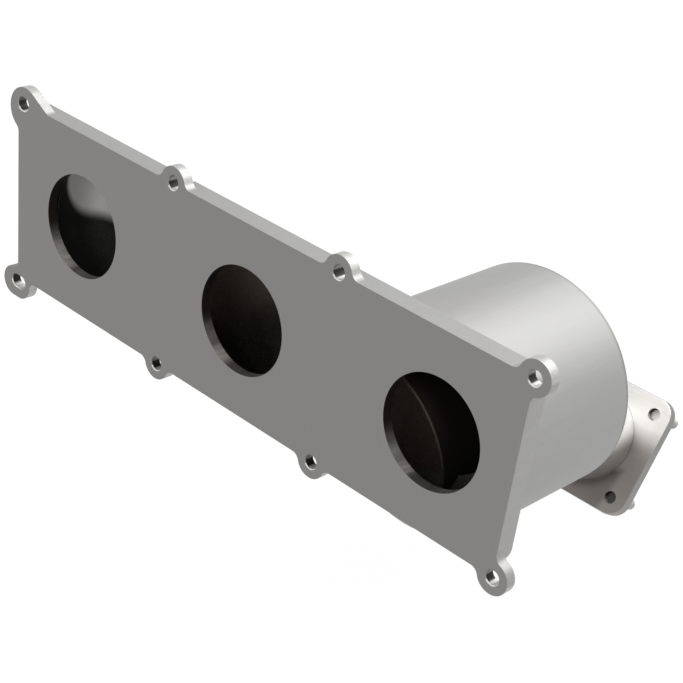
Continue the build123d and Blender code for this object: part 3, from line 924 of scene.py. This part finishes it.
def makeStuds(finish):
    # radius falls from crest to root along a folded wave of the distance less one pitch for each turn,
    # and the groove fades in after the plate and out at the tip
    profile = studProfile()
    along = profile[:, :1]
    turn = np.linspace(0, 2 * np.pi, stud["around"], endpoint=False)[None, :]
    phase = (along / stud["pitch"] - turn / (2 * np.pi)) % 1
    grooveShade = np.clip((np.abs(phase - 0.5) * 2 - 0.1) / 0.75, 0, 1)
    fadeIn = np.clip((along - stud["plate"] - 0.2) / 1.2, 0, 1)
    fadeOut = np.clip((stud["end"] - 0.7 - along) / 0.8, 0, 1)
    depth = grooveShade * fadeIn * fadeOut * (stud["thread"] - stud["root"])
    radius = np.repeat(profile[:, 1:], stud["around"], 1) - depth
    side = np.array((1.0, 0.0, 0.0))
    ring = np.cos(turn)[..., None] * side + np.sin(turn)[..., None] * outlet["up"]
    local = along[..., None] * outlet["axis"] + radius[..., None] * ring
    pieces = []
    for across in (-stud["across"], stud["across"]):
        for up in (-stud["up"], stud["up"]):
            points = local + outlet["centre"] + across * side + up * outlet["up"]
            name = f"threadedStud{len(pieces) + 1}"
            pieces.append(gridPiece(name, points, False, True, finish, None))
    work = bmesh.new()
    for piece in pieces:
        work.from_mesh(piece.data)
    work.to_mesh(pieces[0].data)
    work.free()
    for piece in pieces[1:]:
        bpy.data.objects.remove(piece)
    pieces[0].name = "threadedStuds"
    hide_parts("outlet_studs")


def finishStuds():
    # near ends carry a painted highlight as light as the plate round the upper two, and painted shade in the
    # lower two
    made = Finish("studSteel", stud["metallic"])
    tree = made.tree
    grain = noise(tree, made.place, 700.0, 3.0)
    depth = split(tree, made.mapped(outletMiddle, outletTurn))[1]
    recess = stud["recess"] / 1000
    atEnd = spread(tree, depth, recess + 0.0002, recess + 0.00005)
    # painted highlight on the upper ends, painted shade on the lower ones
    level = spread(tree, made.z, *neck["height"])
    end = mixColour(tree, level, stud["shadedEnd"], stud["litEnd"])
    steel = mixColour(tree, atEnd, made.grainOver(stud["steel"], grain, 0.8, 1.05), end)
    made.colour(mixColour(tree, times(tree, made.wear(0.0002, 0.3), 0.6), steel, stud["worn"]))
    made.roughness(spread(tree, grain, 0.3, 0.7, 0.36, 0.5))
    made.relief(grain, 0.1, 0.0001)
    return made


makeStuds(finishStuds())
print("studs made")


# Weld beads: overlapping ripples along a path, sizes in millimetres
weld = {
    "steel": (0.42, 0.41, 0.39, 1),
    "metallic": 0.5,
    "ripple": 1.25,
    "samples": 6,
    "section": 9,
    "depth": 0.16,
    "lag": 0.55,
    "bulge": 0.28,
    "panSize": 3.0,
    "ringSize": 1.3,
    "canRadius": 53.5,
    "neckRadius": 25.0,
    "boreRadius": 25.1,
    "neckBack": 33.0,
    "boreForward": 4.0,
}


def finishWeld():
    made = Finish("weldSteel", weld["metallic"])
    tree = made.tree
    cloud = noise(tree, made.place, 90.0, 3.0)
    heat = spread(tree, cloud, 0.3, 0.7, 0.1, 0.75)
    made.colour(useGroup(tree, heatTint, Steel=weld["steel"], Heat=heat, Strength=0.6)["Colour"])
    made.roughness(spread(tree, cloud, 0.3, 0.7, 0.34, 0.5))
    made.relief(noise(tree, made.place, 1400.0, 2.0), 0.12, 0.0001)
    return made


def beadPoints(corner, outward, forward, outSize, forwardSize, length):
    # The section is the joint's corner and a curve from toe to shoulder. The curve swells by a share that rises
    # and falls once per ripple along the path, and each ripple lags behind at the middle, like a fish scale.
    count = len(corner)
    v = np.linspace(0, 1, weld["section"])[None, :]
    u = (np.arange(count) / count)[:, None]
    ripples = round(length / weld["ripple"])
    arch = 4 * v * (1 - v)
    phase = (u * ripples - weld["lag"] * arch) % 1
    ridge = 1 - weld["depth"] * (1 - np.sqrt(np.clip(1 - phase ** 2, 0, 1)))
    wander = 1 - 0.05 * (1 + np.sin(2 * np.pi * u * 7 + 1)) - 0.03 * (1 + np.sin(2 * np.pi * u * 17))
    scale = ridge * wander * (1 + weld["bulge"] * arch) / 1.02
    atToe = (v <= 0.05) | (v >= 0.95)
    scale = np.where(atToe, np.minimum(1, scale), scale)
    out = outSize * (1 - v) * scale
    fore = forwardSize * v * scale
    curve = corner[:, None] + out[..., None] * outward[:, None] + fore[..., None] * forward[:, None]
    return np.concatenate([corner[:, None], curve], 1)


acrossX = np.array((1.0, 0.0, 0.0))
backward = np.array((0.0, 1.0, 0.0))


def ringBead(name, node, centre, axis, radius, outSize, finish):
    # the path is a circle: the centre plus the radius times cosine and sine of the turn on two cross directions
    length = 2 * np.pi * radius
    count = round(length / weld["ripple"]) * weld["samples"]
    turn = np.arange(count) / count * 2 * np.pi
    outward = np.cos(turn)[:, None] * acrossX + np.sin(turn)[:, None] * np.cross(axis, acrossX)
    corner = centre + radius * outward
    forward = np.repeat(axis[None], count, 0)
    points = beadPoints(corner, outward, forward, outSize, weld["ringSize"], length)
    gridPiece(name, points, True, True, finish, node)


def panBead(name, node, finish):
    # the path is the pan's outline: a slot shape walked at even steps of its length, four times a straight leg
    # and the quarter circle after it
    long, short, radius = pan["halfLong"], pan["halfShort"], pan["radius"]
    quarter = np.pi / 2 * radius
    legs = [2 * short, quarter, 2 * long, quarter] * 2
    length = sum(legs)
    count = round(length / weld["ripple"]) * weld["samples"]
    walked = np.arange(count) / count * length
    starts = np.cumsum([0] + legs)
    corner = np.zeros((count, 3))
    outward = np.zeros((count, 3))
    for side, signs in enumerate([(1, 1), (-1, 1), (-1, -1), (1, -1)]):
        heading = np.pi / 2 * side  # direction that the straight leg faces
        facing = np.array((np.cos(heading), np.sin(heading)))
        along = np.array((-facing[1], facing[0]))
        half, other = (short, long) if side % 2 == 0 else (long, short)
        first, bendStart, last = starts[2 * side:2 * side + 3]
        here = (walked >= first) & (walked < bendStart)
        offset = walked[here] - first - half
        corner[here, 0] = facing[0] * (other + radius) + along[0] * offset
        corner[here, 2] = facing[1] * (other + radius) + along[1] * offset
        outward[here, 0], outward[here, 2] = facing
        bend = (walked >= bendStart) & (walked < last + 1e-6)
        turn = heading + (walked[bend] - bendStart) / radius
        corner[bend, 0] = signs[0] * long + radius * np.cos(turn)
        corner[bend, 2] = signs[1] * short + radius * np.sin(turn)
        outward[bend, 0], outward[bend, 2] = np.cos(turn), np.sin(turn)
    corner[:, 1] = pan["y"]
    corner[:, 2] += pan["z"]
    forward = np.repeat(backward[None], count, 0)
    points = beadPoints(corner, outward, forward, weld["panSize"], weld["panSize"], length)
    gridPiece(name, points, True, True, finish, node)


weldFinish = finishWeld()
canFront = np.array((can["x"], can["front"], can["z"]))
canRear = np.array((can["x"], can["rear"], can["z"]))
neckStart = outlet["centre"] - weld["neckBack"] * outlet["axis"]
boreFoot = outlet["centre"] + weld["boreForward"] * outlet["axis"]
panBead("housingBead", "weld_housing", weldFinish)
ringBead("canFrontBead", "weld_can_front", canFront, -backward, weld["canRadius"], weld["ringSize"], weldFinish)
ringBead("canRearBead", "weld_can_rear", canRear, backward, weld["canRadius"], weld["ringSize"], weldFinish)
ringBead("neckBead", "weld_neck", neckStart, outlet["axis"], weld["neckRadius"], weld["ringSize"], weldFinish)
ringBead("outletBead", "weld_outlet", boreFoot, outlet["axis"], weld["boreRadius"], -weld["ringSize"], weldFinish)
print("weld beads made")


# Camera at the photograph's place
camera = {
    "lens": 87.99,
    "sensor": 36.0,
    "at": (0.43979, -0.45970, 0.33065),
    "right": (0.71545, 0.68596, 0.13263),
    "up": (-0.40904, 0.25735, 0.87548),
    "back": (0.56641, -0.68061, 0.46470),
}
eye = bpy.data.objects.new("camera", bpy.data.cameras.new("camera"))
bpy.context.scene.collection.objects.link(eye)
eye.data.lens = camera["lens"]
eye.data.sensor_width = camera["sensor"]
eye.data.clip_start = 0.05
turned = Matrix((camera["right"], camera["up"], camera["back"])).transposed().to_4x4()
eye.matrix_world = Matrix.Translation(camera["at"]) @ turned
bpy.context.scene.camera = eye


def mirroredRay(tree, rays):  # light that metal or glass shows
    return maths(tree, "MAXIMUM", rays.outputs["Is Glossy Ray"], rays.outputs["Is Transmission Ray"])


# Pale floor: white to the camera, with a light shadow
ground = {"height": -0.146, "size": 6.0, "grey": (0.5, 0.5, 0.5, 1), "white": 1.08, "shadow": 0.1}


def lightFloor():
    mesh = bpy.data.meshes.new("floor")
    reach = ground["size"] / 2
    corners = [(x * reach, y * reach, ground["height"]) for x, y in ((-1, -1), (1, -1), (1, 1), (-1, 1))]
    mesh.from_pydata(corners, [], [(0, 1, 2, 3)])
    floor = bpy.data.objects.new("floor", mesh)
    bpy.context.scene.collection.objects.link(floor)
    material = bpy.data.materials.new("paleFloor")
    material.use_nodes = True
    tree = material.node_tree
    tree.nodes.clear()
    matt = addNode(tree, "ShaderNodeBsdfDiffuse")
    matt.inputs["Color"].default_value = ground["grey"]
    white = addNode(tree, "ShaderNodeEmission")
    white.inputs["Strength"].default_value = ground["white"]
    rays = addNode(tree, "ShaderNodeLightPath")
    seen = maths(tree, "MAXIMUM", rays.outputs["Is Camera Ray"], mirroredRay(tree, rays))
    mixed = addNode(tree, "ShaderNodeMixShader")
    feed(tree, times(tree, seen, 1 - ground["shadow"]), mixed.inputs[0])
    tree.links.new(matt.outputs[0], mixed.inputs[1])
    tree.links.new(white.outputs[0], mixed.inputs[2])
    end = addNode(tree, "ShaderNodeOutputMaterial")
    tree.links.new(mixed.outputs[0], end.inputs["Surface"])
    mesh.materials.append(material)


# Studio light: an even room, white to the camera and pale in the metal, and soft lamps
studio = {
    "room": 0.496,
    "shine": 0.8,
    "middle": (0.03, 0.08, -0.04),
    "lamps": {
        "keyLamp": {"from": (0.3, 0.5, 1.0), "distance": 1.6, "size": 1.7, "power": 24.0},
        "leftLamp": {"from": (-0.9, -0.5, 0.9), "distance": 1.8, "size": 1.0, "power": 5.0},
        "frontLamp": {"from": (0.3, -1.0, 0.35), "distance": 1.9, "size": 1.2, "power": 6.7},
    },
}


def aim(way):  # turns a lamp's own -Z towards the object
    side = np.cross((0.0, 0.0, 1.0), way)
    side /= np.linalg.norm(side)
    return Matrix((side, np.cross(way, side), way)).transposed().to_4x4()


def lightRoom():
    world = bpy.data.worlds.new("room")
    bpy.context.scene.world = world
    world.use_nodes = True
    tree = world.node_tree
    tree.nodes.clear()
    rays = addNode(tree, "ShaderNodeLightPath")
    air = addNode(tree, "ShaderNodeBackground")
    air.inputs["Color"].default_value = (1, 1, 1, 1)
    indirect = spread(tree, mirroredRay(tree, rays), 0.0, 1.0, studio["room"], studio["shine"])
    feed(tree, spread(tree, rays.outputs["Is Camera Ray"], 0.0, 1.0, indirect, 1.0), air.inputs["Strength"])
    end = addNode(tree, "ShaderNodeOutputWorld")
    tree.links.new(air.outputs[0], end.inputs["Surface"])


def placeLamps():
    for name, lamp in studio["lamps"].items():
        data = bpy.data.lights.new(name, "AREA")
        data.shape = "DISK"
        data.size = lamp["size"]
        data.energy = lamp["power"]
        way = np.array(lamp["from"]) / np.linalg.norm(lamp["from"])
        shining = bpy.data.objects.new(name, data)
        bpy.context.scene.collection.objects.link(shining)
        place = Matrix.Translation(np.array(studio["middle"]) + way * lamp["distance"])
        shining.matrix_world = place @ aim(way)


lightFloor()
lightRoom()
placeLamps()
bpy.context.scene.view_settings.view_transform = "Standard"
print("camera, floor and light ready")
